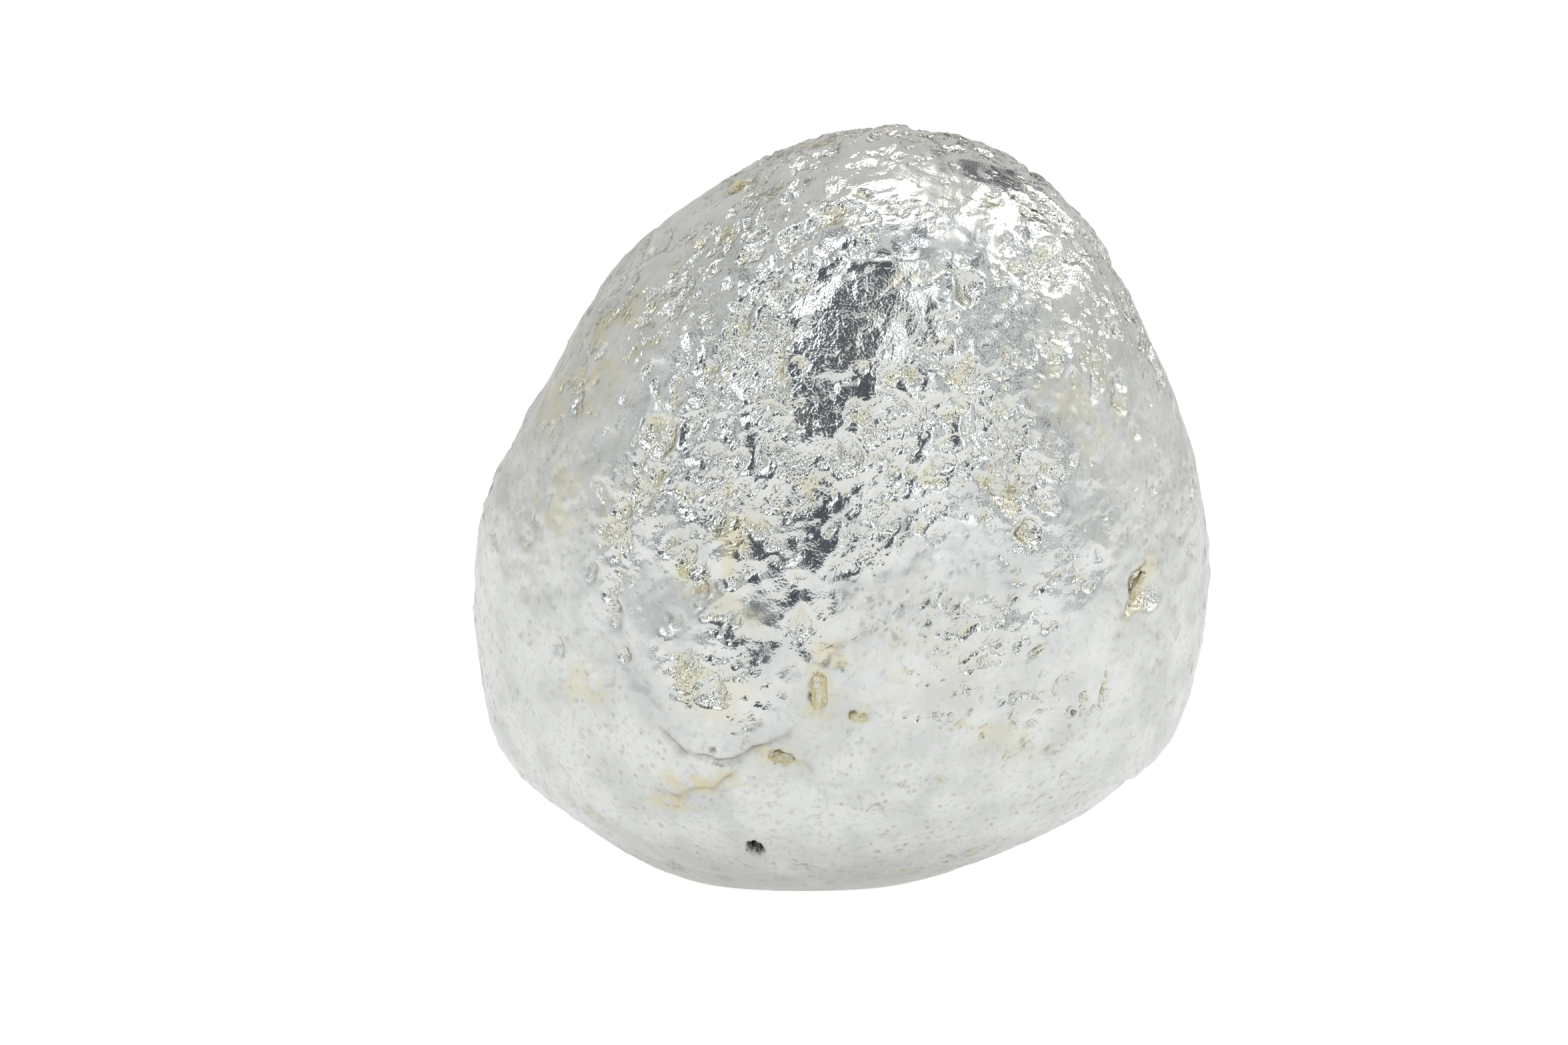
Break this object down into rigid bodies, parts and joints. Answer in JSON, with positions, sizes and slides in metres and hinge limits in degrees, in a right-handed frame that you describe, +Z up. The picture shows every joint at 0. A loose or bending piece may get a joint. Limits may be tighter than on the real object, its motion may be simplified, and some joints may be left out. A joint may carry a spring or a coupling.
{
  "type": "metal nugget",
  "caption": "Rounded, pitted nugget of bright white metal standing on a small flat foot, with yellow mineral grains lodged in its pits.",
  "frame": {"origin": "middle of the nugget's box, on the plane that its foot stands on", "axes": "+Z up from the foot to the crown, the longest extent; -Y is the front, where the mineral grains are; +X is to the right of someone facing the front; Y is the shortest extent"},
  "size_m": [0.022, 0.0196, 0.0228],
  "materials": {
    "white_metal": "satin",
    "straw_mineral": "satin",
    "amber_mineral": "satin",
    "olive_mineral": "satin",
    "tan_mineral": "matte"
  },
  "bodies": {
    "root": {"nugget_body": "white_metal", "bar_grain": "straw_mineral", "lath_grain": "amber_mineral", "oval_pit_grain": "olive_mineral", "shoulder_grain": "amber_mineral", "round_grain": "olive_mineral", "tan_grain": "tan_mineral", "ledge_grain": "straw_mineral", "wedge_grain": "straw_mineral"}
  },
  "joints": []
}
